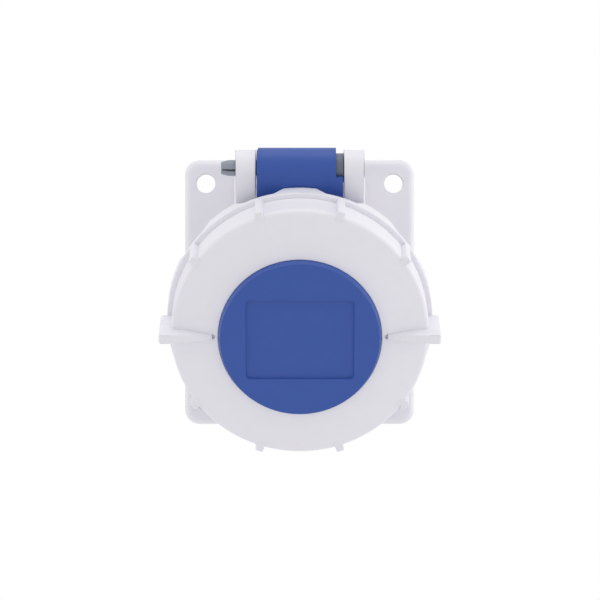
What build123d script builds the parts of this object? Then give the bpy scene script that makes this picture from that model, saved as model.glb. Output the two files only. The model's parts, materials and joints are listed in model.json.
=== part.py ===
from build123d import *
import math
import os

# Angled panel socket, two poles and earth, with a hinged lid and a bayonet ring. Millimetres.
# The part's own frame: origin in the panel plane at the centre of the flange, Z up, front towards -Y.
# The socket's frame: origin where the socket axis crosses the panel plane, Z forward along the
# socket axis, X to the right, Y up across the axis. The socket axis points forward and down.

# Flange on the panel
FLANGE_WIDTH = 66.0
FLANGE_HEIGHT = 76.0
FLANGE_THICKNESS = 5.0
FLANGE_CORNER_RADIUS = 4.2
FLANGE_EDGE_FILLET = 2.0
HOLE_FROM_SIDE = 6.0
HOLE_FROM_TOP = 6.8
HOLE_RADIUS = 2.75
PANEL_GASKET_THICKNESS = 1.2
PANEL_GASKET_MARGIN = 1.2
HOLE_BOSS_WALL = 1.0

# Socket axis
TILT = 20.0
AXIS_HEIGHT = 4.1

# Collar that the plug enters
BORE_RADIUS = 22.2
COLLAR_WALL = 3.4
COLLAR_FRONT = 40.5
COLLAR_EDGE_FILLET = 0.8
KEYWAY_WIDTH = 6.0
KEYWAY_DEPTH = 1.8
SPIGOT_LENGTH = 3.5
SPIGOT_FIT = 0.3
FOOT_FILLET = 1.5

# Web inside the collar and the space behind it
WEB_REAR = 5.0
WEB_THICKNESS = 3.0
REAR_WALL = 2.4
SCREW_BOSS_RADIUS = 2.2
SCREW_BOSS_HEIGHT = 4.0

# Bayonet between collar and ring
HOOK_SWING_GAP = 2.3
BAYONET_GRIP = 1.7
BAYONET_GAP = 0.3
LUG_THICKNESS = 3.0
LUG_SETBACK = 1.5
LUG_HALF_ANGLE = 7.0
HOOK_THICKNESS = 3.0
LOCKED_ANGLES = (60.0, 180.0, 300.0)
LOCK_TURN = 25.0
ASSEMBLY_TURN = 50.0
ASSEMBLY_MARGIN = 1.5

# Ring
SKIRT_SWING_GAP = 1.3
LID_SKIRT_WALL = 1.7
RING_RUNNING_GAP = 0.4
RING_WALL = 2.6
RING_CORNER_FROM_COLLAR = 4.77
RING_EDGE_FILLET = 1.3
RING_SMALL_FILLET = 0.35
RING_HOLE_FILLET = 0.08
RING_FACE_RISE = 3.4
RING_FACE_WALL = 2.3
RING_SKIRT = 10.67
RIM_HEIGHT = 1.4
RIM_WIDTH = 1.9
CASTELLATION_COUNT = 10
CASTELLATION_DEPTH = 3.4
CASTELLATION_FLAT_WIDTH = 8.5
CASTELLATION_BASE_WIDTH = 14.3
RIB_WIDTH = 2.25
RIB_HEIGHT = 1.4
RIB_ROOT = 3.0
RIB_FRONT = 0.45
RIB_EDGE_FILLET = 0.4

# Wings of the ring and the ridges that run inwards from them
WING_THICKNESS = 2.5
WING_HEIGHT = 3.2
WING_FRONT = 5.2
WING_TIP_FILLET = 0.8
RIDGE_PARALLEL_RADIUS = 31.0
RIDGE_INNER_RADIUS = 24.1
RIDGE_INNER_WIDTH = 1.2
RIDGE_INNER_HEIGHT = 1.0
PIT_LENGTH = 0.6
PIT_WIDTH = 1.1
PIT_DEPTH = 0.5

# Lid
BOSS_RADIUS = 22.45
BOSS_FRONT_RADIUS = 21.95
BOSS_STAND = 2.2
BOSS_EDGE_FILLET = 0.35
BOSS_GAP = 0.06
LID_WALL = 2.2
FACE_GAP = 0.3
GASKET_LIP = 0.9
LABEL_WIDTH = 29.8
LABEL_HEIGHT = 23.0
LABEL_DEPTH = 0.7
LABEL_CORNER_RADIUS = 1.0
LABEL_DRAFT = 20.0

# Gasket in the lid
SEAL_GAP = 0.2
LID_GASKET_THICKNESS = 1.6
LID_GASKET_INSET = 0.5
LID_GASKET_OVERHANG = 1.5
GASKET_FIT = 0.05

# Hinge
HINGE_RISE = 3.64
ARM_RING_GAP = 0.5
BARREL_RADIUS = 5.64
BARREL_RIGHT = 10.0
BARREL_NICK = 0.35
BARREL_NICK_RISE = 4.2
ARM_HALF_WIDTH = 11.95
ARM_THICKNESS = 3.6
TONGUE_WALL = 2.7
PIN_RADIUS = 2.1
PIN_RUNNING_GAP = 0.08
PIN_FIXED_GAP = 0.02
PIN_STICKOUT = 3.95
PIN_TAPER_LENGTH = 2.1
PIN_TIP_RADIUS = 1.7
PIN_BARB = 0.12
PIN_SLIT = 0.6
PIN_SLIT_LENGTH = 5.5
PIN_HEAD_RADIUS = 2.7
PIN_HEAD_THICKNESS = 0.7
PIN_BARB_SEAT = 0.12
PIN_HEAD_SINK = 0.65
PIN_HEAD_FIT = 0.1

# Ears of the housing
EAR_GAP = 0.25
EAR_THICKNESS = 5.7
EAR_NOSE_RADIUS = 5.05
EAR_OUTER_DRAFT = 2.2
EAR_INNER_DRAFT = 1.0
EAR_TOP_SETBACK = 4.5

# Torsion spring on the hinge pin
SPRING_WIRE_RADIUS = 0.4
SPRING_MEAN_RADIUS = 3.25
SPRING_PITCH = 0.86
SPRING_TURNS = 8.5
SPRING_SIDE_GAP = 0.15
SPRING_POCKET_GAP = 0.25
SPRING_LEG_GAP = 0.3
SPRING_EXPOSED_BELOW = 0.96
SPRING_LID_LEG = 9.0
SPRING_HOUSING_LEG = 14.5
SPRING_STOP_THICKNESS = 1.6
SPRING_STOP_HEIGHT = 6.5
SPRING_STOP_REACH = 2.0
SPRING_STOP_ROOT = 1.0

# Cap on the pin over the right end of the spring
COVER_WALL = 0.4
COVER_SPRING_GAP = 0.05
COVER_END_WALL = 0.35
COVER_EAR_GAP = 0.1
COVER_LENGTH = 4.0
COVER_LEG_GAP = 0.15
COVER_PIN_GAP = 0.05

# Contact carrier
PLUG_SHROUD_SPACE = 3.5
CARRIER_RECESS = 1.5
CARRIER_FIT = 0.2
CARRIER_BASE_THICKNESS = 3.0
CARRIER_WALL = 2.0
CARRIER_POST_RADIUS = 3.2
CARRIER_EDGE_FILLET = 1.0
CARRIER_FRONT_WALL = 2.5
CARRIER_STEP = 2.0
PLATE_FIT = 0.05
CHAMBER_WALL = 1.3
CONTACT_PITCH_RADIUS = 9.5
EARTH_ANGLE = 180.0
LINE_ANGLE = 60.0
NEUTRAL_ANGLE = 300.0
ENTRY_MARGIN = 0.6
ENTRY_WALL = 0.6

# Contacts
POLE_PIN_RADIUS = 2.5
EARTH_PIN_RADIUS = 3.0
SLEEVE_WALL = 1.1
SLEEVE_DEPTH = 24.0
SLEEVE_FRONT_GAP = 0.3
SLEEVE_SLIT = 0.8
SLEEVE_SLIT_LENGTH = 16.0
CHAMBER_GAP = 0.1
SHOULDER_GRIP = 0.7
SHOULDER_THICKNESS = 1.5
TERMINAL_RADIUS = 4.0
TERMINAL_LENGTH = 12.0
WIRE_BORE_RADIUS = 1.9
WIRE_BORE_DEPTH = 10.0

# Spring bands round the sleeves
BAND_THICKNESS = 0.4
BAND_LENGTH = 6.0
BAND_SETBACK = 3.0
BAND_GAP = 1.0

# Rear insulator and its screw
INSULATOR_RADIUS = 17.5
INSULATOR_THICKNESS = 5.0
INSULATOR_HOLE_FIT = 0.05
INSULATOR_SCREW_RADIUS = 1.25
INSULATOR_SCREW_HEAD_RADIUS = 2.8
INSULATOR_SCREW_GRIP = 9.0

# Screws
SCREW_HOLE_FIT = 0.02
SCREW_HEAD_HEIGHT = 1.8
SCREW_SLOT_WIDTH = 0.8
SCREW_SLOT_DEPTH = 0.9
SCREW_HEAD_CHAMFER = 0.3
SCREW_TIP_GAP = 1.0
SCREW_TIP_WALL = 1.0
CARRIER_SCREW_INSET = 2.4
CARRIER_SCREW_RADIUS = 1.25
CARRIER_SCREW_HEAD_RADIUS = 2.3
TERMINAL_SCREW_RADIUS = 2.0
TERMINAL_SCREW_HEAD_RADIUS = 2.9
TERMINAL_SCREW_BACK = 5.5
TERMINAL_HEAD_GAP = 0.4
CLAMP_PLATE_THICKNESS = 0.6
CLAMP_PLATE_WIDTH = 2.1
CLAMP_PLATE_LENGTH = 6.0
CLAMP_PLATE_OFFSET = 0.9

# Flange
hole_spacing_x = FLANGE_WIDTH - 2.0 * HOLE_FROM_SIDE
hole_spacing_z = FLANGE_HEIGHT - 2.0 * HOLE_FROM_TOP
hole_boss_radius = HOLE_RADIUS + HOLE_BOSS_WALL
ear_top_at_flange = FLANGE_HEIGHT / 2 - EAR_TOP_SETBACK

# Radii that follow from the bore, outwards
collar_radius = BORE_RADIUS + COLLAR_WALL
hook_radius = collar_radius + HOOK_SWING_GAP
lug_radius = hook_radius + BAYONET_GRIP
skirt_inner_radius = lug_radius + SKIRT_SWING_GAP
skirt_outer_radius = skirt_inner_radius + LID_SKIRT_WALL
ring_inner_radius = skirt_outer_radius + RING_RUNNING_GAP
ring_radius = ring_inner_radius + RING_WALL
rim_radius = ring_radius + RIM_HEIGHT
rib_radius = ring_radius + RIB_HEIGHT
wing_radius = ring_radius + WING_HEIGHT
ring_hole_radius = BOSS_RADIUS + BOSS_GAP
rear_bore_radius = collar_radius - REAR_WALL
nose_radius = BORE_RADIUS - PLUG_SHROUD_SPACE
web_hole_radius = nose_radius + CARRIER_FIT
carrier_base_radius = rear_bore_radius - CARRIER_FIT
carrier_screw_place = carrier_base_radius - CARRIER_SCREW_INSET
gasket_inner_radius = BORE_RADIUS - LID_GASKET_INSET
gasket_outer_radius = collar_radius + LID_GASKET_OVERHANG

# Places along the socket axis
ring_corner = COLLAR_FRONT + RING_CORNER_FROM_COLLAR
face_slope = RING_FACE_RISE / (ring_radius - ring_hole_radius)
rim_front = ring_corner - RING_SKIRT
rim_rear = rim_front - RIM_WIDTH
ring_rear = rim_rear - CASTELLATION_DEPTH
ring_hole_front = ring_corner + RING_FACE_RISE
wing_front = ring_corner + WING_FRONT
boss_front = ring_hole_front + BOSS_STAND
gasket_rear = COLLAR_FRONT + SEAL_GAP
gasket_front = gasket_rear + LID_GASKET_THICKNESS
lid_underside = gasket_front - GASKET_LIP
lug_front = COLLAR_FRONT - LUG_SETBACK
lug_rear = lug_front - LUG_THICKNESS
hook_front = lug_rear - BAYONET_GAP
hook_rear = hook_front - HOOK_THICKNESS
skirt_rear = hook_front + BAYONET_GAP
web_front = WEB_REAR + WEB_THICKNESS
carrier_base_rear = WEB_REAR - CARRIER_BASE_THICKNESS
nose_front = COLLAR_FRONT - CARRIER_RECESS
chamber_front = nose_front - CARRIER_FRONT_WALL
sleeve_front = chamber_front - SLEEVE_FRONT_GAP
insulator_rear = carrier_base_rear - INSULATOR_THICKNESS
terminal_rear = insulator_rear - TERMINAL_LENGTH
terminal_screw_place = insulator_rear - TERMINAL_SCREW_BACK

# Hinge, in the socket's frame
hinge_height = rim_radius + HINGE_RISE
arm_front = ring_rear - ARM_RING_GAP
hinge_place = arm_front - BARREL_RADIUS
arm_rear = arm_front - ARM_THICKNESS
tongue_inner_radius = skirt_outer_radius - TONGUE_WALL
ear_inner = ARM_HALF_WIDTH + EAR_GAP
ear_outer = ear_inner + EAR_THICKNESS
ear_front = hinge_place + EAR_NOSE_RADIUS
spring_outer_radius = SPRING_MEAN_RADIUS + SPRING_WIRE_RADIUS
cover_inner_radius = spring_outer_radius + COVER_SPRING_GAP
cover_radius = cover_inner_radius + COVER_WALL
spring_pocket_radius = cover_radius + SPRING_POCKET_GAP
spring_length = SPRING_PITCH * SPRING_TURNS
cover_right = ear_inner - COVER_EAR_GAP
cover_left = cover_right - COVER_LENGTH
spring_right = cover_right - COVER_END_WALL - COVER_SPRING_GAP - SPRING_WIRE_RADIUS
spring_left = spring_right - spring_length
spring_pocket_left = spring_left - SPRING_WIRE_RADIUS - SPRING_SIDE_GAP
spring_stop_front = hinge_place - spring_outer_radius - PIN_FIXED_GAP
pin_head_start = ear_outer - PIN_HEAD_SINK
far = 2.0 * FLANGE_HEIGHT

tilt_sine = math.sin(math.radians(TILT))
tilt_cosine = math.cos(math.radians(TILT))
SOCKET = Plane(origin=(0, 0, AXIS_HEIGHT), x_dir=(1, 0, 0), z_dir=(0, -tilt_cosine, -tilt_sine))
BOTTOM = (Align.CENTER, Align.CENTER, Align.MIN)


def placed(shape):
    """Moves a shape from the socket's frame to the part's own frame."""
    return SOCKET.location * shape


def unplaced(shape):
    """Moves a shape from the part's own frame to the socket's frame."""
    return SOCKET.location.inverse() * shape


def in_socket_frame(depth, height):
    """Height across and place along the socket axis, for a point at a world Y and Z."""
    rise = height - AXIS_HEIGHT
    across = -tilt_sine * depth + tilt_cosine * rise
    along = -tilt_cosine * depth - tilt_sine * rise
    return across, along


def disc(radius, rear, front):
    """A cylinder on the socket axis between two places along it."""
    return Pos(0, 0, rear) * Cylinder(radius, front - rear, align=BOTTOM)


def tube(inner, outer, rear, front):
    """A tube on the socket axis, with the bore cut right through."""
    return disc(outer, rear, front) - disc(inner, rear - 1.0, front + 1.0)


def revolved(points):
    """A solid turned about the socket axis from radius and place pairs."""
    profile = make_face(Polyline(*[(radius, 0, place) for radius, place in points], close=True))
    return revolve(profile, Axis.Z)


def clockwise(angle):
    """A turn about the socket axis, clockwise from the top as seen from the front."""
    return Rot(0, 0, -angle)


def around(angle, radius):
    """X and Y of a point at a clockwise angle from the top."""
    return radius * math.sin(math.radians(angle)), radius * math.cos(math.radians(angle))


def sector(inner, outer, middle, half_angle, rear, front):
    """A piece of a tube between two angles either side of a middle angle."""
    reach = 2.0 * outer
    left = around(-half_angle, reach)
    right = around(half_angle, reach)
    wedge_face = make_face(Polyline((0, 0), left, right, close=True))
    wedge = Pos(0, 0, rear) * extrude(wedge_face, front - rear, dir=(0, 0, 1))
    return clockwise(middle) * (tube(inner, outer, rear, front) & wedge)


def side_prism(points, left, right):
    """A prism along X from a side view, with points as height across and place along the axis."""
    face = make_face(Polyline(*[(0, across, along) for across, along in points], close=True))
    return Pos(left, 0, 0) * extrude(face, right - left, dir=(1, 0, 0))


def cross_cylinder(radius, left, right):
    """A cylinder along X on the hinge axis."""
    rod = Rot(0, 90, 0) * Cylinder(radius, right - left, align=BOTTOM)
    return Pos(left, hinge_height, hinge_place) * rod


def face_place(radius):
    """Place along the axis of the ring's conical front face at a radius."""
    return ring_corner + (ring_radius - radius) * face_slope


def slotted_screw(shank, head, length, head_height):
    """A cheese-head screw along -Z, with the underside of its head at the origin."""
    body = Pos(0, 0, -length) * Cylinder(shank, length, align=BOTTOM)
    cap = Cylinder(head, head_height, align=BOTTOM)
    cap = chamfer(cap.edges().sort_by(Axis.Z)[-1], SCREW_HEAD_CHAMFER)
    slot = Pos(0, 0, head_height) * Box(4.0 * head, SCREW_SLOT_WIDTH, 2.0 * SCREW_SLOT_DEPTH)
    return body + (cap - slot)


def make_flange():
    """The flange plate with rounded corners and a rounded front edge."""
    outline = RectangleRounded(FLANGE_WIDTH, FLANGE_HEIGHT, FLANGE_CORNER_RADIUS)
    plate = Plane.XZ * extrude(outline, FLANGE_THICKNESS)
    front = plate.faces().sort_by(Axis.Y)[0]
    return fillet(front.edges(), FLANGE_EDGE_FILLET)


def panel_gasket_sheet(margin):
    """The flat sheet behind the flange, open round the collar and round a boss at each hole."""
    width = FLANGE_WIDTH - 2.0 * PANEL_GASKET_MARGIN
    height = FLANGE_HEIGHT - 2.0 * PANEL_GASKET_MARGIN
    corner = FLANGE_CORNER_RADIUS - PANEL_GASKET_MARGIN
    sheet = Plane.XZ * extrude(RectangleRounded(width, height, corner), PANEL_GASKET_THICKNESS)
    return sheet - placed(disc(collar_radius + margin, -far, far)) - mounting_holes(hole_boss_radius + margin)


def mounting_holes(radius):
    """Four cylinders along Y at the corners of the hole pattern."""
    holes = [Pos(x, 0, z) * Rot(90, 0, 0) * Cylinder(radius, 4.0 * FLANGE_THICKNESS)
             for x in (-hole_spacing_x / 2, hole_spacing_x / 2)
             for z in (-hole_spacing_z / 2, hole_spacing_z / 2)]
    return Compound(children=holes)


def make_ear(side):
    """One hinge ear: a round nose on the pin, a straight front and a web back to the flange."""
    at_flange = in_socket_frame(-FLANGE_THICKNESS / 2, ear_top_at_flange)
    low_back = in_socket_frame(-FLANGE_THICKNESS / 2, AXIS_HEIGHT)
    reach = math.hypot(hinge_height - at_flange[0], hinge_place - at_flange[1])
    bearing = math.atan2(hinge_place - at_flange[1], hinge_height - at_flange[0])
    lean = math.acos(EAR_NOSE_RADIUS / reach)
    touch = bearing + math.pi - lean
    if math.sin(touch) * math.cos(bearing) - math.cos(touch) * math.sin(bearing) < 0:
        touch = bearing + math.pi + lean
    tangent = (hinge_height + EAR_NOSE_RADIUS * math.cos(touch),
               hinge_place + EAR_NOSE_RADIUS * math.sin(touch))
    low_front = (collar_radius / 2, ear_front)
    points = [(hinge_height, ear_front), low_front, low_back, at_flange, tangent,
              (hinge_height, hinge_place)]
    reach_out = ear_outer + FLANGE_THICKNESS
    web = side_prism(points, 0, reach_out)
    nose = cross_cylinder(EAR_NOSE_RADIUS, 0, reach_out)
    spread_out = math.tan(math.radians(EAR_OUTER_DRAFT))
    spread_in = math.tan(math.radians(EAR_INNER_DRAFT))
    back = in_socket_frame(0, -FLANGE_HEIGHT)[1] - FLANGE_HEIGHT
    front = ear_front + 1.0
    corners = [(ear_inner - (hinge_place - front) * spread_in, front),
               (ear_outer + (hinge_place - front) * spread_out, front),
               (ear_outer + (hinge_place - back) * spread_out, back),
               (ear_inner - (hinge_place - back) * spread_in, back)]
    plan = make_face(Polyline(*[(x, 0, along) for x, along in corners], close=True))
    draft = Pos(0, -FLANGE_HEIGHT, 0) * extrude(plan, 2.0 * FLANGE_HEIGHT, dir=(0, 1, 0))
    ear = (web + nose) & draft
    return ear if side > 0 else mirror(ear, Plane.YZ)


def make_lug(angle):
    """One bayonet lug on the outside of the collar."""
    return sector(collar_radius - COLLAR_WALL / 2, lug_radius, angle, LUG_HALF_ANGLE, lug_rear, lug_front)


def make_spring_stop():
    """A low rib between the ears that takes the spring's fixed leg."""
    low = math.sqrt(collar_radius**2 - ear_inner**2) - COLLAR_WALL / 2
    length = ear_inner + SPRING_STOP_ROOT - (spring_right - SPRING_STOP_REACH)
    rib = Box(length, SPRING_STOP_HEIGHT, SPRING_STOP_THICKNESS, align=(Align.MAX, Align.MIN, Align.MAX))
    return Pos(ear_inner + SPRING_STOP_ROOT, low, spring_stop_front) * rib


def make_spigot():
    """The short end of the collar behind the panel plane, trimmed to pass a straight hole."""
    outline = Ellipse(collar_radius - SPIGOT_FIT, collar_radius / tilt_cosine - SPIGOT_FIT)
    plug = Pos(0, 0, AXIS_HEIGHT) * (Plane.XZ * extrude(outline, SPIGOT_LENGTH + FLANGE_THICKNESS / 2))
    plug = Pos(0, SPIGOT_LENGTH, 0) * plug
    return plug & placed(disc(collar_radius, -far, COLLAR_FRONT))


def make_housing():
    """The white moulding: flange, collar, ears, lugs and the web that carries the insulator."""
    flange = make_flange()
    shell = placed(disc(collar_radius, -far, COLLAR_FRONT))
    shell = shell - Box(far, 4.0 * far, 4.0 * far, align=(Align.CENTER, Align.MIN, Align.CENTER))
    body = flange + shell
    foot = [edge for edge in body.edges()
            if abs(edge.center().Y + FLANGE_THICKNESS) < 0.01 and edge.geom_type == GeomType.ELLIPSE]
    body = fillet(foot, FOOT_FILLET)
    body = unplaced(body + make_spigot())
    for angle in LOCKED_ANGLES:
        body = body + make_lug(angle)
    for side in (-1, 1):
        body = body + make_ear(side)
    body = body + make_spring_stop()
    body = body - disc(BORE_RADIUS, web_front, COLLAR_FRONT + 1.0)
    body = body - disc(web_hole_radius, 0, COLLAR_FRONT)
    body = body - disc(rear_bore_radius, -far, WEB_REAR)
    keyway = Box(KEYWAY_WIDTH, 2.0 * KEYWAY_DEPTH, far, align=(Align.CENTER, Align.CENTER, Align.MIN))
    body = body - Pos(0, -BORE_RADIUS, web_front) * keyway
    rim = [edge for edge in body.edges()
           if edge.geom_type == GeomType.CIRCLE and abs(edge.radius - collar_radius) < 0.01
           and abs(edge.center().Z - COLLAR_FRONT) < 0.01]
    body = fillet(rim, COLLAR_EDGE_FILLET)
    for side in (-1, 1):
        body = body + make_carrier_screw_boss(side)
        body = body - carrier_screw_hole(side)
    body = body - cross_cylinder(PIN_RADIUS + PIN_FIXED_GAP, -2.0 * ear_outer, 2.0 * ear_outer)
    body = body - cross_cylinder(PIN_HEAD_RADIUS + PIN_HEAD_FIT, pin_head_start, 2.0 * ear_outer)
    body = placed(body)
    body = body - panel_gasket_sheet(0)
    return body - mounting_holes(HOLE_RADIUS)


def make_carrier_screw_boss(side):
    """A boss on the front of the web, against the collar's wall, for a carrier screw."""
    boss = Pos(side * carrier_screw_place, 0, WEB_REAR) * Cylinder(
        SCREW_BOSS_RADIUS, WEB_THICKNESS + SCREW_BOSS_HEIGHT, align=BOTTOM)
    return boss & tube(web_hole_radius, collar_radius - COLLAR_WALL / 2, 0, COLLAR_FRONT)


def carrier_screw_hole(side):
    """The blind hole that a carrier screw bites in."""
    depth = WEB_THICKNESS + SCREW_BOSS_HEIGHT - SCREW_TIP_WALL
    hole = Cylinder(CARRIER_SCREW_RADIUS + SCREW_HOLE_FIT, depth, align=BOTTOM)
    return Pos(side * carrier_screw_place, 0, WEB_REAR) * hole


def make_panel_gasket():
    """The flat seal between flange and panel, let into the back of the flange."""
    return panel_gasket_sheet(GASKET_FIT)


def make_ring_body():
    """The turned shape of the ring: conical face, skirt and rear rim."""
    outer = [(ring_hole_radius, face_place(ring_hole_radius)),
             (ring_radius, ring_corner),
             (ring_radius, rim_front),
             (rim_radius, rim_front),
             (rim_radius, rim_rear),
             (ring_inner_radius, rim_rear),
             (ring_inner_radius, face_place(ring_inner_radius) - RING_FACE_WALL),
             (ring_hole_radius, face_place(ring_hole_radius) - RING_FACE_WALL)]
    body = revolved(outer)
    corner = [edge for edge in body.edges()
              if edge.geom_type == GeomType.CIRCLE and abs(edge.radius - ring_radius) < 0.01
              and abs(edge.center().Z - ring_corner) < 0.01]
    body = fillet(corner, RING_EDGE_FILLET)
    hole = [edge for edge in body.edges()
            if edge.geom_type == GeomType.CIRCLE and abs(edge.radius - ring_hole_radius) < 0.01
            and edge.center().Z > ring_corner]
    body = fillet(hole, RING_HOLE_FILLET)
    rim = [edge for edge in body.edges()
           if edge.geom_type == GeomType.CIRCLE and abs(edge.radius - rim_radius) < 0.01
           and abs(edge.center().Z - rim_front) < 0.01]
    return fillet(rim, RING_SMALL_FILLET)


def make_castellations():
    """The trapezoid teeth behind the rear rim."""
    half_flat = CASTELLATION_FLAT_WIDTH / 2
    half_base = CASTELLATION_BASE_WIDTH / 2
    outline = [(-half_base, rim_rear), (half_base, rim_rear), (half_flat, ring_rear), (-half_flat, ring_rear)]
    face = make_face(Polyline(*[(x, 0, along) for x, along in outline], close=True))
    tooth = Pos(0, ring_inner_radius / 2, 0) * extrude(face, rim_radius, dir=(0, 1, 0))
    tooth = tooth & tube(ring_inner_radius, rim_radius, ring_rear, rim_rear)
    tooth = fillet(tooth.faces().sort_by(Axis.Z)[0].edges(), RING_SMALL_FILLET)
    step = 360.0 / CASTELLATION_COUNT
    return [clockwise(step * index) * tooth for index in range(CASTELLATION_COUNT)]


def make_rib():
    """One straight rib on the ring's outside at the top, whose flat front runs into the face."""
    root = ring_radius - RIB_ROOT
    front = ring_corner + RIB_FRONT
    block = Pos(0, root, rim_rear) * Box(RIB_WIDTH, rib_radius, front - rim_rear,
                                         align=(Align.CENTER, Align.MIN, Align.MIN))
    rib = block & disc(rib_radius, rim_rear, front)
    crest = rib.faces().sort_by(Axis.Y)[-1].edges()
    sides = [edge for edge in rib.faces().sort_by(Axis.Z)[-1].edges() if abs(edge.center().X) > RIB_WIDTH / 4]
    return fillet(crest + sides, RIB_EDGE_FILLET)


def make_wing():
    """The wing on the right of the ring, with the ridge that runs inwards over the face."""
    half = WING_THICKNESS / 2
    inner_half = RIDGE_INNER_WIDTH / 2
    plan = make_face(Polyline((RIDGE_INNER_RADIUS, -inner_half, 0), (RIDGE_PARALLEL_RADIUS, -half, 0),
                              (wing_radius, -half, 0), (wing_radius, half, 0),
                              (RIDGE_PARALLEL_RADIUS, half, 0), (RIDGE_INNER_RADIUS, inner_half, 0),
                              close=True))
    block = Pos(0, 0, rim_rear) * extrude(plan, far, dir=(0, 0, 1))
    root = ring_radius - RING_WALL / 2
    crest = face_place(RIDGE_INNER_RADIUS) + RIDGE_INNER_HEIGHT
    sunk = RING_FACE_WALL / 2
    outline = make_face(Polyline((RIDGE_INNER_RADIUS, 0, face_place(RIDGE_INNER_RADIUS) - sunk),
                                 (RIDGE_INNER_RADIUS, 0, crest),
                                 (ring_radius, 0, wing_front),
                                 (wing_radius, 0, wing_front),
                                 (wing_radius, 0, rim_front),
                                 (root, 0, rim_front),
                                 (root, 0, face_place(root) - sunk), close=True))
    profile = Pos(0, -WING_THICKNESS, 0) * extrude(outline, 2.0 * WING_THICKNESS, dir=(0, 1, 0))
    wing = block & profile
    tip = wing.faces().sort_by(Axis.X)[-1]
    wing = fillet(tip.edges(), WING_TIP_FILLET)
    crest = [edge for edge in wing.edges()
             if edge.center().Z > face_place(edge.center().X) + RING_EDGE_FILLET / 2
             and edge.center().X < wing_radius - WING_TIP_FILLET and edge.length > 2.0 * WING_THICKNESS / 2]
    return fillet(crest, RING_SMALL_FILLET)


def make_pit():
    """The small pit at the inner end of the right ridge."""
    pit = Box(PIT_LENGTH, PIT_WIDTH, 2.0 * PIT_DEPTH)
    return Pos(RIDGE_INNER_RADIUS - PIT_LENGTH / 2, 0, face_place(RIDGE_INNER_RADIUS)) * pit


def make_hook(angle):
    """One hook inside the ring, shown where it stands with the ring unlocked."""
    return sector(hook_radius, ring_inner_radius + RING_WALL / 2, angle, LUG_HALF_ANGLE, hook_rear, hook_front)


def make_bayonet_ring():
    """The white ring that turns on the lid and locks it to the collar."""
    ring = make_ring_body()
    for tooth in make_castellations():
        ring = ring + tooth
    rib = make_rib()
    step = 360.0 / CASTELLATION_COUNT
    for index in range(CASTELLATION_COUNT):
        angle = step * (index + 0.5)
        if min(abs(angle - 90.0), abs(angle - 270.0)) > step / 4:
            ring = ring + clockwise(angle) * rib
    wing = make_wing()
    pit = make_pit()
    for turn in (0, 180):
        ring = ring + clockwise(turn) * wing
        ring = ring - clockwise(turn) * pit
    for angle in LOCKED_ANGLES:
        ring = ring + make_hook(angle - LOCK_TURN)
    return placed(ring)


def make_lid_body():
    """The turned shape of the lid: boss, conical flange and skirt."""
    lid_face = FACE_GAP + RING_FACE_WALL
    cavity_radius = BOSS_RADIUS - LID_WALL
    cavity_front = boss_front - LID_WALL
    points = [(0, boss_front),
              (BOSS_FRONT_RADIUS, boss_front),
              (BOSS_RADIUS, ring_hole_front),
              (BOSS_RADIUS, face_place(BOSS_RADIUS) - lid_face),
              (skirt_outer_radius, face_place(skirt_outer_radius) - lid_face),
              (skirt_outer_radius, skirt_rear),
              (skirt_inner_radius, skirt_rear),
              (skirt_inner_radius, lid_underside),
              (gasket_outer_radius, lid_underside),
              (gasket_outer_radius, gasket_front),
              (gasket_inner_radius, gasket_front),
              (gasket_inner_radius, lid_underside),
              (cavity_radius, lid_underside),
              (cavity_radius, cavity_front),
              (0, cavity_front)]
    body = revolved(points)
    edge = [item for item in body.edges()
            if item.geom_type == GeomType.CIRCLE and abs(item.radius - BOSS_FRONT_RADIUS) < 0.01]
    return fillet(edge, BOSS_EDGE_FILLET)


def make_label_recess():
    """The shallow recess for a label on the front of the boss."""
    outline = RectangleRounded(LABEL_WIDTH, LABEL_HEIGHT, LABEL_CORNER_RADIUS)
    recess = extrude(outline, LABEL_DEPTH, dir=(0, 0, -1), taper=LABEL_DRAFT)
    return Pos(0, 0, boss_front) * recess


def make_arm():
    """The arm from the lid's skirt, out behind the ring and up to the hinge barrel."""
    tongue = tube(tongue_inner_radius, skirt_outer_radius, arm_rear, lid_underside)
    strip = Pos(0, 0, arm_rear) * Box(2.0 * ARM_HALF_WIDTH, far, lid_underside - arm_rear,
                                      align=(Align.CENTER, Align.MIN, Align.MIN))
    tongue = tongue & strip
    plate = Pos(0, 0, arm_rear) * Box(2.0 * ARM_HALF_WIDTH, hinge_height, ARM_THICKNESS,
                                      align=(Align.CENTER, Align.MIN, Align.MIN))
    plate = plate - disc(tongue_inner_radius, 0, far)
    barrel = cross_cylinder(BARREL_RADIUS, -ARM_HALF_WIDTH, BARREL_RIGHT)
    return tongue + plate + barrel


def make_arm_cuts():
    """The pin bore, the spring's pocket and opening, the nick on the left and the slot for the leg."""
    bore = cross_cylinder(PIN_RADIUS + PIN_RUNNING_GAP, -2.0 * ear_outer, 2.0 * ear_outer)
    pocket = cross_cylinder(spring_pocket_radius, spring_pocket_left, 2.0 * ear_outer)
    corner = Pos(BARREL_RIGHT, hinge_height - SPRING_EXPOSED_BELOW, 0) * Box(
        far, far, far, align=(Align.MIN, Align.MIN, Align.CENTER))
    nick = Pos(BARREL_NICK - ARM_HALF_WIDTH, hinge_height + BARREL_NICK_RISE, 0) * Box(
        far, far, far, align=(Align.MAX, Align.MIN, Align.CENTER))
    leg_place = hinge_place + SPRING_MEAN_RADIUS
    leg_width = 2.0 * (SPRING_WIRE_RADIUS + SPRING_LEG_GAP)
    slot_front = leg_place + SPRING_WIRE_RADIUS + SPRING_LEG_GAP
    leg_slot = Pos(spring_left, hinge_height, slot_front) * Box(
        leg_width, SPRING_LID_LEG + SPRING_LEG_GAP, slot_front, align=(Align.CENTER, Align.MAX, Align.MAX))
    return [bore, pocket, corner, nick, leg_slot]


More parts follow.
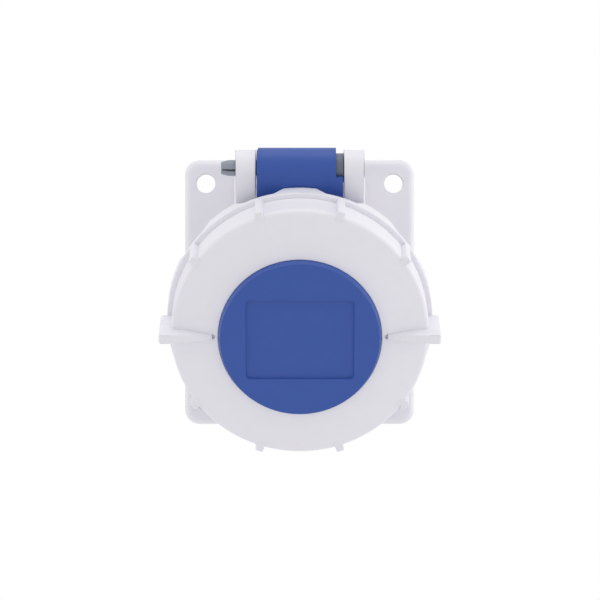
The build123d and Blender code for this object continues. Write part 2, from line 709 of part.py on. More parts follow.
def make_lid():
    """The blue moulding: lid, arm and hinge barrel in one piece."""
    lid = make_lid_body() + make_arm()
    for cut in make_arm_cuts():
        lid = lid - cut
    lid = lid - make_label_recess()
    notch_half = LUG_HALF_ANGLE + ASSEMBLY_MARGIN
    for angle in LOCKED_ANGLES:
        middle = angle - LOCK_TURN + ASSEMBLY_TURN
        notch = sector(hook_radius - BAYONET_GAP, ring_inner_radius, middle, notch_half, 0, ring_corner)
        lid = lid - notch
    return placed(lid)


def make_lid_gasket():
    """The flat ring that seals the lid on the collar's front."""
    ring = tube(gasket_inner_radius + GASKET_FIT, gasket_outer_radius - GASKET_FIT,
                gasket_rear, gasket_front)
    return placed(ring)


def make_hinge_pin():
    """The snap pin: a thin head on the right and a split, tapered end on the left."""
    tip = -ear_outer - PIN_STICKOUT
    taper_start = tip + PIN_TAPER_LENGTH
    barb_start = -ear_outer - PIN_BARB_SEAT
    barb_radius = PIN_RADIUS + PIN_BARB
    shank = cross_cylinder(PIN_RADIUS, barb_start, pin_head_start)
    barb = cross_cylinder(barb_radius, taper_start, barb_start)
    taper = Pos(tip, hinge_height, hinge_place) * Rot(0, 90, 0) * Cone(
        PIN_TIP_RADIUS, barb_radius, PIN_TAPER_LENGTH, align=BOTTOM)
    head = cross_cylinder(PIN_HEAD_RADIUS, pin_head_start, pin_head_start + PIN_HEAD_THICKNESS)
    slit = Pos(tip - 1.0, hinge_height, hinge_place) * Box(
        PIN_SLIT_LENGTH + 1.0, PIN_SLIT, 4.0 * PIN_RADIUS, align=(Align.MIN, Align.CENTER, Align.CENTER))
    return placed(shank + barb + taper + head - slit)


def make_lid_spring():
    """The torsion spring: a close coil on the pin with one leg in the arm and one on the housing."""
    coil_path = Helix(SPRING_PITCH, spring_length, SPRING_MEAN_RADIUS)
    start = coil_path @ 0
    direction = coil_path % 0
    section = Plane(origin=start, z_dir=direction) * Circle(SPRING_WIRE_RADIUS)
    coil = sweep(section, path=coil_path, is_frenet=True)
    coil = Pos(spring_left, hinge_height, hinge_place) * Rot(0, 90, 0) * Rot(0, 0, 180) * coil
    lid_leg = Rot(90, 0, 0) * Cylinder(SPRING_WIRE_RADIUS, SPRING_LID_LEG, align=BOTTOM)
    lid_leg = Pos(spring_left, hinge_height, hinge_place + SPRING_MEAN_RADIUS) * lid_leg
    fixed_leg = Rot(90, 0, 0) * Cylinder(SPRING_WIRE_RADIUS, SPRING_HOUSING_LEG, align=BOTTOM)
    fixed_leg = Pos(spring_right, hinge_height, hinge_place - SPRING_MEAN_RADIUS) * fixed_leg
    return placed(coil + lid_leg + fixed_leg)


def make_spring_cover():
    """The grey cap on the pin that hides the spring's right end, slit for the spring's fixed leg."""
    cap = cross_cylinder(cover_radius, cover_left, cover_right)
    cap = cap - cross_cylinder(cover_inner_radius, cover_left - 1.0, cover_right - COVER_END_WALL)
    cap = cap - cross_cylinder(PIN_RADIUS + COVER_PIN_GAP, cover_left, cover_right + 1.0)
    slit_rear = hinge_place - 2.0 * cover_radius
    slit_front = hinge_place - SPRING_MEAN_RADIUS + SPRING_WIRE_RADIUS + COVER_LEG_GAP
    slit = Pos(cover_left - 1.0, hinge_height, slit_rear) * Box(
        cover_right - COVER_END_WALL - cover_left + 1.0, 2.0 * cover_radius, slit_front - slit_rear,
        align=(Align.MIN, Align.MAX, Align.MIN))
    return placed(cap - slit)


def chamber_radius(pin_radius):
    """Inner radius of the chamber round one contact and its spring band."""
    return pin_radius + SLEEVE_WALL + BAND_THICKNESS + CHAMBER_GAP


def shoulder_radius(pin_radius):
    """Radius of the contact's shoulder, which can't pass the chamber."""
    return chamber_radius(pin_radius) + SHOULDER_GRIP


CONTACTS = (("line", LINE_ANGLE, POLE_PIN_RADIUS),
            ("neutral", NEUTRAL_ANGLE, POLE_PIN_RADIUS),
            ("earth", EARTH_ANGLE, EARTH_PIN_RADIUS))


def at_contact(angle):
    """Location of a contact's axis, with its own Y pointing outwards."""
    return clockwise(angle) * Pos(0, CONTACT_PITCH_RADIUS, 0)


def entry_radius(pin_radius):
    """Radius of the opening that a plug's pin passes in the front of its chamber."""
    return pin_radius + ENTRY_MARGIN


def make_contact_carrier():
    """The insulating tube round the chambers, with a flange that is screwed to the web."""
    body = disc(nose_radius, carrier_base_rear, chamber_front)
    body = body + disc(carrier_base_radius, carrier_base_rear, WEB_REAR)
    body = body - disc(nose_radius - CARRIER_WALL, carrier_base_rear - 1.0, chamber_front + 1.0)
    for side in (-1, 1):
        hole = disc(CARRIER_SCREW_RADIUS + SCREW_HOLE_FIT, carrier_base_rear - 1.0, WEB_REAR + 1.0)
        body = body - Pos(side * carrier_screw_place, 0, 0) * hole
    return placed(body)


def make_carrier_face():
    """The front plate of the carrier, with a hole for each chamber's nose and a post for the screw."""
    body = disc(nose_radius, chamber_front, nose_front)
    front_edge = body.edges().filter_by(GeomType.CIRCLE).sort_by(Axis.Z)[-1]
    body = fillet(front_edge, CARRIER_EDGE_FILLET)
    body = body + disc(nose_radius - CARRIER_WALL - PLATE_FIT, chamber_front - CARRIER_STEP, chamber_front)
    for _, angle, pin_radius in CONTACTS:
        step = disc(chamber_radius(pin_radius) + CHAMBER_WALL + PLATE_FIT, 0, chamber_front)
        nose = disc(entry_radius(pin_radius) + ENTRY_WALL + PLATE_FIT, 0, nose_front + 1.0)
        body = body - at_contact(angle) * (step + nose)
    body = body + disc(CARRIER_POST_RADIUS, carrier_base_rear, chamber_front)
    body = body - disc(INSULATOR_SCREW_RADIUS + SCREW_HOLE_FIT,
                       carrier_base_rear - 1.0, carrier_base_rear + INSULATOR_SCREW_GRIP)
    return placed(body)


def make_chamber(angle, pin_radius):
    """An insulating tube round one contact, whose nose passes the front plate and takes the pin."""
    inner = chamber_radius(pin_radius)
    entry = entry_radius(pin_radius)
    wall = tube(inner, inner + CHAMBER_WALL, carrier_base_rear, sleeve_front)
    shoulder = tube(entry, inner + CHAMBER_WALL, sleeve_front, chamber_front)
    nose = tube(entry, entry + ENTRY_WALL, chamber_front, nose_front)
    return placed(at_contact(angle) * (wall + shoulder + nose))


def make_rear_insulator():
    """The disc that closes the chambers and holds the contacts' shoulders."""
    body = disc(INSULATOR_RADIUS, insulator_rear, carrier_base_rear)
    for _, angle, pin_radius in CONTACTS:
        seat = disc(shoulder_radius(pin_radius) + INSULATOR_HOLE_FIT,
                    carrier_base_rear - SHOULDER_THICKNESS, carrier_base_rear + 1.0)
        hole = disc(TERMINAL_RADIUS + INSULATOR_HOLE_FIT, insulator_rear - 1.0, carrier_base_rear)
        body = body - at_contact(angle) * (seat + hole)
    body = body - disc(INSULATOR_SCREW_RADIUS + SCREW_HOLE_FIT, insulator_rear - 1.0, carrier_base_rear + 1.0)
    return placed(body)


def radial_cylinder(radius, start, end):
    """A cylinder that points outwards from a contact's axis at the terminal screw."""
    rod = Rot(-90, 0, 0) * Cylinder(radius, end - start, align=BOTTOM)
    return Pos(0, start, terminal_screw_place) * rod


def make_contact(angle, pin_radius):
    """A turned brass contact: slit sleeve, shoulder and drilled terminal."""
    sleeve_radius = pin_radius + SLEEVE_WALL
    body = disc(sleeve_radius, carrier_base_rear - SHOULDER_THICKNESS, sleeve_front)
    body = body + disc(shoulder_radius(pin_radius), carrier_base_rear - SHOULDER_THICKNESS, carrier_base_rear)
    body = body + disc(TERMINAL_RADIUS, terminal_rear, carrier_base_rear)
    body = body - disc(pin_radius, sleeve_front - SLEEVE_DEPTH, sleeve_front + 1.0)
    slit = Pos(0, 0, sleeve_front - SLEEVE_SLIT_LENGTH) * Box(
        SLEEVE_SLIT, 4.0 * sleeve_radius, 2.0 * SLEEVE_SLIT_LENGTH, align=BOTTOM)
    body = body - slit
    body = body - disc(WIRE_BORE_RADIUS, terminal_rear - 1.0, terminal_rear + WIRE_BORE_DEPTH)
    body = body - radial_cylinder(TERMINAL_SCREW_RADIUS + SCREW_HOLE_FIT, 0, 2.0 * TERMINAL_RADIUS)
    return placed(at_contact(angle) * body)


def make_spring_band(angle, pin_radius):
    """An open band that closes the slit sleeve on the plug's pin."""
    inner = pin_radius + SLEEVE_WALL
    front = sleeve_front - BAND_SETBACK
    band = tube(inner, inner + BAND_THICKNESS, front - BAND_LENGTH, front)
    gap = Pos(0, 0, front - BAND_LENGTH) * Box(far, BAND_GAP, BAND_LENGTH,
                                               align=(Align.MIN, Align.CENTER, Align.MIN))
    return placed(at_contact(angle) * (band - gap))


def make_terminal_screw(angle):
    """The screw that presses the clamp plate on the wire."""
    under_head = TERMINAL_RADIUS + TERMINAL_HEAD_GAP
    tip = CLAMP_PLATE_OFFSET + CLAMP_PLATE_THICKNESS
    screw = slotted_screw(TERMINAL_SCREW_RADIUS, TERMINAL_SCREW_HEAD_RADIUS, under_head - tip, SCREW_HEAD_HEIGHT)
    screw = Pos(0, under_head, terminal_screw_place) * Rot(-90, 0, 0) * screw
    return placed(at_contact(angle) * screw)


def make_clamp_plate(angle):
    """The small plate between terminal screw and wire."""
    plate = Box(CLAMP_PLATE_WIDTH, CLAMP_PLATE_THICKNESS, CLAMP_PLATE_LENGTH,
                align=(Align.CENTER, Align.MIN, Align.CENTER))
    return placed(at_contact(angle) * Pos(0, CLAMP_PLATE_OFFSET, terminal_screw_place) * plate)


def make_carrier_screw(side):
    """A screw from behind that holds the carrier on the web."""
    length = CARRIER_BASE_THICKNESS + WEB_THICKNESS + SCREW_BOSS_HEIGHT - SCREW_TIP_WALL - SCREW_TIP_GAP
    screw = slotted_screw(CARRIER_SCREW_RADIUS, CARRIER_SCREW_HEAD_RADIUS, length, SCREW_HEAD_HEIGHT)
    screw = Pos(side * carrier_screw_place, 0, carrier_base_rear) * Rot(180, 0, 0) * screw
    return placed(screw)


def make_insulator_screw():
    """The screw from behind that holds the rear insulator on the carrier."""
    length = INSULATOR_THICKNESS + INSULATOR_SCREW_GRIP - SCREW_TIP_GAP
    screw = slotted_screw(INSULATOR_SCREW_RADIUS, INSULATOR_SCREW_HEAD_RADIUS, length, SCREW_HEAD_HEIGHT)
    return placed(Pos(0, 0, insulator_rear) * Rot(180, 0, 0) * screw)


def make_parts():
    """Every piece of the socket by its name."""
    parts = {"housing": make_housing(),
             "panel_gasket": make_panel_gasket(),
             "bayonet_ring": make_bayonet_ring(),
             "lid": make_lid(),
             "lid_gasket": make_lid_gasket(),
             "hinge_pin": make_hinge_pin(),
             "lid_spring": make_lid_spring(),
             "spring_cover": make_spring_cover(),
             "contact_carrier": make_contact_carrier(),
             "carrier_face": make_carrier_face(),
             "rear_insulator": make_rear_insulator(),
             "carrier_screw_left": make_carrier_screw(-1),
             "carrier_screw_right": make_carrier_screw(1),
             "insulator_screw": make_insulator_screw()}
    for name, angle, pin_radius in CONTACTS:
        parts[name + "_chamber"] = make_chamber(angle, pin_radius)
        parts[name + "_contact"] = make_contact(angle, pin_radius)
        parts[name + "_spring_band"] = make_spring_band(angle, pin_radius)
        parts[name + "_terminal_screw"] = make_terminal_screw(angle)
        parts[name + "_clamp_plate"] = make_clamp_plate(angle)
    return parts


os.makedirs("parts", exist_ok=True)
for node, shape in make_parts().items():
    export_step(shape, os.path.join("parts", node + ".step"))
    print(node, round(shape.volume, 2))
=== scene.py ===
"""Looks of the angled panel socket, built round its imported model.

The socket is a moulded product: a white housing with a flange for the panel, a white bayonet ring, a blue
hinged lid on a grey snap pin, and behind them a black insulator block with brass contacts. This script gives
every piece its finish, models the pieces that need more than their solid shows, and sets the studio.
"""

import json
import logging
import math
from dataclasses import dataclass, field
from enum import Enum
from typing import ClassVar

import bpy
from mathutils import Matrix, Vector

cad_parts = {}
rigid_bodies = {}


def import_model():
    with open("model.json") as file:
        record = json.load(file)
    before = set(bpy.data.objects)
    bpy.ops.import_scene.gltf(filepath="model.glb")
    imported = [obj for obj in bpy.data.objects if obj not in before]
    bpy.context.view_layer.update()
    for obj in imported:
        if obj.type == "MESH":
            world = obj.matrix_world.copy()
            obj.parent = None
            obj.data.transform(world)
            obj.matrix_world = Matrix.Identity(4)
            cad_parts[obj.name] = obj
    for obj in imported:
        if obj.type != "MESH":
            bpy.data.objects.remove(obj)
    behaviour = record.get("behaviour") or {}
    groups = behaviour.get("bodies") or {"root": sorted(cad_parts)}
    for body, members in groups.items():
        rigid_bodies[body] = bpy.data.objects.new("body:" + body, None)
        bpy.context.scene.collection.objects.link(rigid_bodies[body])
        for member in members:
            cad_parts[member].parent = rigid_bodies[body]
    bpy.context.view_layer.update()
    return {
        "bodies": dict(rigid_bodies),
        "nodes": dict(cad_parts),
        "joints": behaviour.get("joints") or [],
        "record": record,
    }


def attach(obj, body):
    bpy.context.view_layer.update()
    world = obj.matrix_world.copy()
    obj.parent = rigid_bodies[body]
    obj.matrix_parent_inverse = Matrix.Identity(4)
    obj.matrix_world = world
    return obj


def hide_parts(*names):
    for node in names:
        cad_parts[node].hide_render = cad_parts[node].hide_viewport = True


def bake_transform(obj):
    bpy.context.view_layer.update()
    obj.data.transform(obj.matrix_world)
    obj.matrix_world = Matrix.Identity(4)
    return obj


LOG = logging.getLogger("panel_socket")

MM = 0.001
TILT = math.radians(20.0)
AXIS_HEIGHT = 4.1 * MM
AXIS_OUT = Vector((0.0, -math.cos(TILT), -math.sin(TILT)))

WHITE = (1.0, 1.0, 1.0, 1.0)
NOISE_MEAN = 0.5
MIX_FIRST = 6
MIX_SECOND = 7
MIX_RESULT = 2

Colour = tuple[float, float, float]
Place = tuple[float, float]


class Effect(Enum):
    """Shader effects that several finishes share, by the name of their node group."""

    MOULDED_GRAIN = "Moulded Grain"
    SOFT_EDGES = "Soft Edges"
    TURNED_LINES = "Turned Lines"
    HANDLING = "Handling Marks"


class Slot(Enum):
    """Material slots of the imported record."""

    WHITE_PLASTIC = "white_plastic"
    BLUE_PLASTIC = "blue_plastic"
    GREY_PLASTIC = "grey_plastic"
    DARK_GREY_PLASTIC = "dark_grey_plastic"
    BLACK_PLASTIC = "black_plastic"
    DARK_RUBBER = "dark_rubber"
    BRASS = "brass"
    PLATED_STEEL = "plated_steel"
    SPRING_STEEL = "spring_steel"


class NodeSheet:
    """One node tree, filled from left to right."""

    def __init__(self, tree: bpy.types.NodeTree) -> None:
        """Keeps the tree and empties it.

        Args:
            tree: The node tree of a material, a group or the world.
        """
        self.tree = tree
        tree.nodes.clear()

    def add(self, kind: str, place: Place, **settings: object) -> bpy.types.Node:
        """Adds one node and sets its properties.

        Args:
            kind: The node's type name.
            place: Where it stands on the sheet.
            settings: Properties of the node, by name.

        Returns:
            The new node.
        """
        node = self.tree.nodes.new(kind)
        node.location = place
        for name, value in settings.items():
            setattr(node, name, value)
        return node

    def join(self, source: bpy.types.NodeSocket, target: bpy.types.NodeSocket) -> None:
        """Links an output to an input.

        Args:
            source: The output.
            target: The input that it feeds.
        """
        self.tree.links.new(source, target)

    def math(self, operation: str, place: Place, *terms: object) -> bpy.types.NodeSocket:
        """Adds a Math node.

        Args:
            operation: The node's operation.
            place: Where it stands on the sheet.
            terms: Sockets or numbers for its inputs, in order.

        Returns:
            The node's output.
        """
        node = self.add("ShaderNodeMath", place, operation=operation)
        for index, term in enumerate(terms):
            if isinstance(term, bpy.types.NodeSocket):
                self.join(term, node.inputs[index])
            else:
                node.inputs[index].default_value = term
        return node.outputs[0]

    def ramp(self, value: bpy.types.NodeSocket, place: Place, low: float,
             high: float) -> bpy.types.NodeSocket:
        """Maps a value to the range from 0 to 1 with smooth ends.

        Args:
            value: The socket to map.
            place: Where the node stands.
            low: Value that becomes 0.
            high: Value that becomes 1.

        Returns:
            The mapped value.
        """
        node = self.add("ShaderNodeMapRange", place, interpolation_type="SMOOTHSTEP")
        self.join(value, node.inputs["Value"])
        node.inputs["From Min"].default_value = low
        node.inputs["From Max"].default_value = high
        return node.outputs["Result"]


class EffectLibrary:
    """Builds each shared node group once and hands it to the finishes."""

    EDGE_STARTS = 0.99
    EDGE_IS_FULL = 0.80
    BEVEL_SAMPLES = 6
    RUBBED_FROM = 0.50
    RUBBED_FULLY = 0.72

    def __init__(self) -> None:
        """Builds all groups."""
        self.groups: dict[Effect, bpy.types.NodeTree] = {}
        self._build_grain()
        self._build_edges()
        self._build_lines()
        self._build_handling()

    def _open(self, effect: Effect, inputs: dict[str, tuple[str, object]],
              outputs: dict[str, str]) -> tuple[NodeSheet, bpy.types.Node, bpy.types.Node]:
        """Starts a group with its named sockets.

        Args:
            effect: The effect that the group makes.
            inputs: Socket type and default of each input, by name.
            outputs: Socket type of each output, by name.

        Returns:
            The group's sheet, its input node and its output node.
        """
        tree = bpy.data.node_groups.new(effect.value, "ShaderNodeTree")
        for name, (kind, default) in inputs.items():
            socket = tree.interface.new_socket(name=name, in_out="INPUT", socket_type=kind)
            socket.default_value = default
        for name, kind in outputs.items():
            tree.interface.new_socket(name=name, in_out="OUTPUT", socket_type=kind)
        sheet = NodeSheet(tree)
        entry = sheet.add("NodeGroupInput", (-900, 0))
        leave = sheet.add("NodeGroupOutput", (700, 0))
        self.groups[effect] = tree
        return sheet, entry, leave

    def _noise(self, sheet: NodeSheet, place: Place, size: bpy.types.NodeSocket,
               detail: float) -> bpy.types.NodeSocket:
        """Adds noise in object space with its feature size in millimetres.

        Args:
            sheet: The group's sheet.
            place: Where the noise node stands.
            size: Feature size in millimetres.
            detail: Octaves of the noise.

        Returns:
            The noise value, about NOISE_MEAN in the mean.
        """
        x, y = place
        coordinates = sheet.add("ShaderNodeTexCoord", (x - 400, y - 160))
        scale = sheet.math("DIVIDE", (x - 200, y), 1000.0, size)
        noise = sheet.add("ShaderNodeTexNoise", place, noise_dimensions="3D")
        noise.inputs["Detail"].default_value = detail
        sheet.join(coordinates.outputs["Object"], noise.inputs["Vector"])
        sheet.join(scale, noise.inputs["Scale"])
        return noise.outputs["Fac"]

    def _build_grain(self) -> None:
        """Spark-eroded grain of moulded plastic, with a soft mottle in colour and gloss."""
        sheet, entry, leave = self._open(
            Effect.MOULDED_GRAIN,
            {"Colour": ("NodeSocketColor", (0.8, 0.8, 0.8, 1.0)), "Roughness": ("NodeSocketFloat", 0.45),
             "Grain Size": ("NodeSocketFloat", 0.25), "Mottle Size": ("NodeSocketFloat", 2.5),
             "Mottle": ("NodeSocketFloat", 0.04), "Gloss Change": ("NodeSocketFloat", 0.12)},
            {"Colour": "NodeSocketColor", "Roughness": "NodeSocketFloat", "Height": "NodeSocketFloat"})
        grain = self._noise(sheet, (-300, 300), entry.outputs["Grain Size"], 2.0)
        mottle = self._noise(sheet, (-300, -100), entry.outputs["Mottle Size"], 4.0)
        swing = sheet.math("SUBTRACT", (-100, -100), mottle, NOISE_MEAN)
        fine = sheet.math("SUBTRACT", (-100, 200), grain, NOISE_MEAN)
        both = sheet.math("MULTIPLY_ADD", (60, 60), fine, 0.5, swing)
        shade = sheet.math("MULTIPLY_ADD", (220, 60), both, entry.outputs["Mottle"], 1.0)
        tint = sheet.add("ShaderNodeVectorMath", (420, 200), operation="SCALE")
        sheet.join(entry.outputs["Colour"], tint.inputs[0])
        sheet.join(shade, tint.inputs["Scale"])
        gloss = sheet.math("MULTIPLY_ADD", (220, -200), both, entry.outputs["Gloss Change"],
                           entry.outputs["Roughness"])
        sheet.join(tint.outputs["Vector"], leave.inputs["Colour"])
        sheet.join(gloss, leave.inputs["Roughness"])
        sheet.join(grain, leave.inputs["Height"])

    def _build_edges(self) -> None:
        """Edges rounded to a mould's radius, and a mask of where they are."""
        sheet, entry, leave = self._open(
            Effect.SOFT_EDGES,
            {"Radius": ("NodeSocketFloat", 0.25)},
            {"Normal": "NodeSocketVector", "Mask": "NodeSocketFloat"})
        metres = sheet.math("MULTIPLY", (-600, 0), entry.outputs["Radius"], MM)
        round_off = sheet.add("ShaderNodeBevel", (-300, 0), samples=self.BEVEL_SAMPLES)
        sheet.join(metres, round_off.inputs["Radius"])
        surface = sheet.add("ShaderNodeNewGeometry", (-300, -250))
        likeness = sheet.add("ShaderNodeVectorMath", (-60, -120), operation="DOT_PRODUCT")
        sheet.join(round_off.outputs["Normal"], likeness.inputs[0])
        sheet.join(surface.outputs["True Normal"], likeness.inputs[1])
        mask = sheet.ramp(likeness.outputs["Value"], (200, -120), self.EDGE_STARTS, self.EDGE_IS_FULL)
        sheet.join(round_off.outputs["Normal"], leave.inputs["Normal"])
        sheet.join(mask, leave.inputs["Mask"])

    def _build_lines(self) -> None:
        """Fine turning lines across the socket axis, as a lathe leaves them."""
        sheet, entry, leave = self._open(
            Effect.TURNED_LINES,
            {"Line Spacing": ("NodeSocketFloat", 0.12), "Roughness": ("NodeSocketFloat", 0.3),
             "Gloss Change": ("NodeSocketFloat", 0.2)},
            {"Height": "NodeSocketFloat", "Roughness": "NodeSocketFloat"})
        coordinates = sheet.add("ShaderNodeTexCoord", (-800, -300))
        along = sheet.add("ShaderNodeVectorMath", (-600, -300), operation="DOT_PRODUCT")
        along.inputs[1].default_value = AXIS_OUT
        sheet.join(coordinates.outputs["Object"], along.inputs[0])
        scale = sheet.math("DIVIDE", (-600, 100), 1000.0, entry.outputs["Line Spacing"])
        place = sheet.math("MULTIPLY", (-400, 0), along.outputs["Value"], scale)
        lines = sheet.add("ShaderNodeTexNoise", (-200, 0), noise_dimensions="1D")
        lines.inputs["Scale"].default_value = 1.0
        lines.inputs["Detail"].default_value = 3.0
        sheet.join(place, lines.inputs["W"])
        swing = sheet.math("SUBTRACT", (0, -100), lines.outputs["Fac"], NOISE_MEAN)
        gloss = sheet.math("MULTIPLY_ADD", (200, -100), swing, entry.outputs["Gloss Change"],
                           entry.outputs["Roughness"])
        sheet.join(lines.outputs["Fac"], leave.inputs["Height"])
        sheet.join(gloss, leave.inputs["Roughness"])

    def _build_handling(self) -> None:
        """Faint patches that hands and packing leave on a moulded surface."""
        sheet, entry, leave = self._open(
            Effect.HANDLING,
            {"Patch Size": ("NodeSocketFloat", 14.0), "Amount": ("NodeSocketFloat", 0.5)},
            {"Mask": "NodeSocketFloat"})
        patch = self._noise(sheet, (-300, 200), entry.outputs["Patch Size"], 5.0)
        rubbed = sheet.ramp(patch, (-60, 200), self.RUBBED_FROM, self.RUBBED_FULLY)
        mask = sheet.math("MULTIPLY", (200, 100), rubbed, entry.outputs["Amount"])
        sheet.join(mask, leave.inputs["Mask"])

    def place(self, sheet: NodeSheet, effect: Effect, place: Place, **values: object) -> bpy.types.Node:
        """Puts a group into a material with its own values.

        Args:
            sheet: The material's sheet.
            effect: Which effect to place.
            place: Where the group node stands.
            values: Input values, by name with underscores for spaces.

        Returns:
            The group node.
        """
        node = sheet.add("ShaderNodeGroup", place, node_tree=self.groups[effect])
        node.label = effect.value
        for name, value in values.items():
            node.inputs[name.replace("_", " ")].default_value = value
        return node


@dataclass(frozen=True)
class PlasticFinish:
    """A moulded thermoplastic or rubber surface.

    Attributes:
        slot: The record's slot that the finish belongs to.
        colour: Linear base colour.
        worn_and_lit_edge_colour: Linear colour of rounded edges, lighter than the base: partly rubbed edges,
            partly a painted highlight.
        roughness: Roughness of the untouched surface.
        grain_size: Size of the mould's grain in millimetres.
        grain_depth: Depth of the grain in millimetres.
        mottle: Strength of the colour change.
        edge_radius: Radius that sharp edges are shaded with, in millimetres.
        edge_wear_and_highlight: How far rounded edges take that lighter colour of rubbed edges and painted
            highlight.
        specular: Specular level of the plastic.
        refraction: Index of refraction of the plastic.
        rubbing: How much smoother the handled patches are.
    """

    slot: Slot
    colour: Colour
    worn_and_lit_edge_colour: Colour
    roughness: float
    grain_size: float = 0.25
    grain_depth: float = 0.010
    mottle: float = 0.05
    edge_radius: float = 0.25
    edge_wear_and_highlight: float = 0.35
    specular: float = 0.5
    refraction: float = 1.49
    rubbing: float = 0.06

    def build(self, effects: EffectLibrary) -> bpy.types.Material:
        """Makes the material.

        Args:
            effects: The shared node groups.

        Returns:
            The finished material.
        """
        material = bpy.data.materials.new(self.slot.value)
        material.use_nodes = True
        sheet = NodeSheet(material.node_tree)
        out = sheet.add("ShaderNodeOutputMaterial", (900, 0))
        surface = sheet.add("ShaderNodeBsdfPrincipled", (600, 0))
        surface.inputs["IOR"].default_value = self.refraction
        surface.inputs["Specular IOR Level"].default_value = self.specular
        grain = effects.place(sheet, Effect.MOULDED_GRAIN, (-500, 200), Colour=(*self.colour, 1.0),
                              Roughness=self.roughness, Grain_Size=self.grain_size, Mottle=self.mottle)
        edges = effects.place(sheet, Effect.SOFT_EDGES, (-500, -200), Radius=self.edge_radius)
        handled = effects.place(sheet, Effect.HANDLING, (-500, 500), Amount=self.rubbing)
        # Rounded edges turn lighter: partly rubbed edges, partly a painted highlight where they catch the
        # light.
        wear_and_highlight = sheet.math("MULTIPLY", (-200, -100), edges.outputs["Mask"], self.edge_wear_and_highlight)
        worn_and_lit_mix = sheet.add("ShaderNodeMix", (100, 200), data_type="RGBA")
        sheet.join(wear_and_highlight, worn_and_lit_mix.inputs["Factor"])
        sheet.join(grain.outputs["Colour"], worn_and_lit_mix.inputs[MIX_FIRST])
        worn_and_lit_mix.inputs[MIX_SECOND].default_value = (*self.worn_and_lit_edge_colour, 1.0)
        sheet.join(worn_and_lit_mix.outputs[MIX_RESULT], surface.inputs["Base Color"])
        polished = sheet.math("SUBTRACT", (100, 0), grain.outputs["Roughness"], handled.outputs["Mask"])
        sheet.join(polished, surface.inputs["Roughness"])
        bump = sheet.add("ShaderNodeBump", (300, -250))
        bump.inputs["Strength"].default_value = 1.0
        bump.inputs["Distance"].default_value = self.grain_depth * MM
        sheet.join(grain.outputs["Height"], bump.inputs["Height"])
        sheet.join(edges.outputs["Normal"], bump.inputs["Normal"])
        sheet.join(bump.outputs["Normal"], surface.inputs["Normal"])
        sheet.join(surface.outputs["BSDF"], out.inputs["Surface"])
        return material


@dataclass(frozen=True)
class MetalFinish:
    """A turned or drawn metal surface.

    Attributes:
        slot: The record's slot that the finish belongs to.
        colour: Linear base colour.
        dull_colour: Linear colour where the metal is tarnished.
        roughness: Mean roughness.
        line_spacing: Spacing of the turning lines in millimetres.
        line_depth: Depth of the turning lines in millimetres.
        tarnish: Share of the surface that is tarnished.
        tarnish_size: Size of the tarnished patches in millimetres.
        tarnish_roughness: How much rougher they are.
        edge_radius: Radius that sharp edges are shaded with, in millimetres.
    """

    slot: Slot
    colour: Colour
    dull_colour: Colour
    roughness: float
    line_spacing: float = 0.12
    line_depth: float = 0.004
    tarnish: float = 0.5
    tarnish_size: float = 3.5
    tarnish_roughness: float = 0.25
    edge_radius: float = 0.12

    def build(self, effects: EffectLibrary) -> bpy.types.Material:
        """Makes the material.

        Args:
            effects: The shared node groups.

        Returns:
            The finished material.
        """
        material = bpy.data.materials.new(self.slot.value)
        material.use_nodes = True
        sheet = NodeSheet(material.node_tree)
        out = sheet.add("ShaderNodeOutputMaterial", (900, 0))
        surface = sheet.add("ShaderNodeBsdfPrincipled", (600, 0))
        surface.inputs["Metallic"].default_value = 1.0
        lines = effects.place(sheet, Effect.TURNED_LINES, (-500, 0), Line_Spacing=self.line_spacing,
                              Roughness=self.roughness)
        edges = effects.place(sheet, Effect.SOFT_EDGES, (-500, -250), Radius=self.edge_radius)
        dulled = effects.place(sheet, Effect.HANDLING, (-500, 300), Patch_Size=self.tarnish_size,
                               Amount=self.tarnish)
        tone = sheet.add("ShaderNodeMix", (0, 250), data_type="RGBA")
        sheet.join(dulled.outputs["Mask"], tone.inputs["Factor"])
        tone.inputs[MIX_FIRST].default_value = (*self.colour, 1.0)
        tone.inputs[MIX_SECOND].default_value = (*self.dull_colour, 1.0)
        sheet.join(tone.outputs[MIX_RESULT], surface.inputs["Base Color"])
        rough = sheet.math("MULTIPLY_ADD", (0, 0), dulled.outputs["Mask"], self.tarnish_roughness,
                           lines.outputs["Roughness"])
        sheet.join(rough, surface.inputs["Roughness"])
        bump = sheet.add("ShaderNodeBump", (300, -250))
        bump.inputs["Distance"].default_value = self.line_depth * MM
        sheet.join(lines.outputs["Height"], bump.inputs["Height"])
        sheet.join(edges.outputs["Normal"], bump.inputs["Normal"])
        sheet.join(bump.outputs["Normal"], surface.inputs["Normal"])
        sheet.join(surface.outputs["BSDF"], out.inputs["Surface"])
        return material


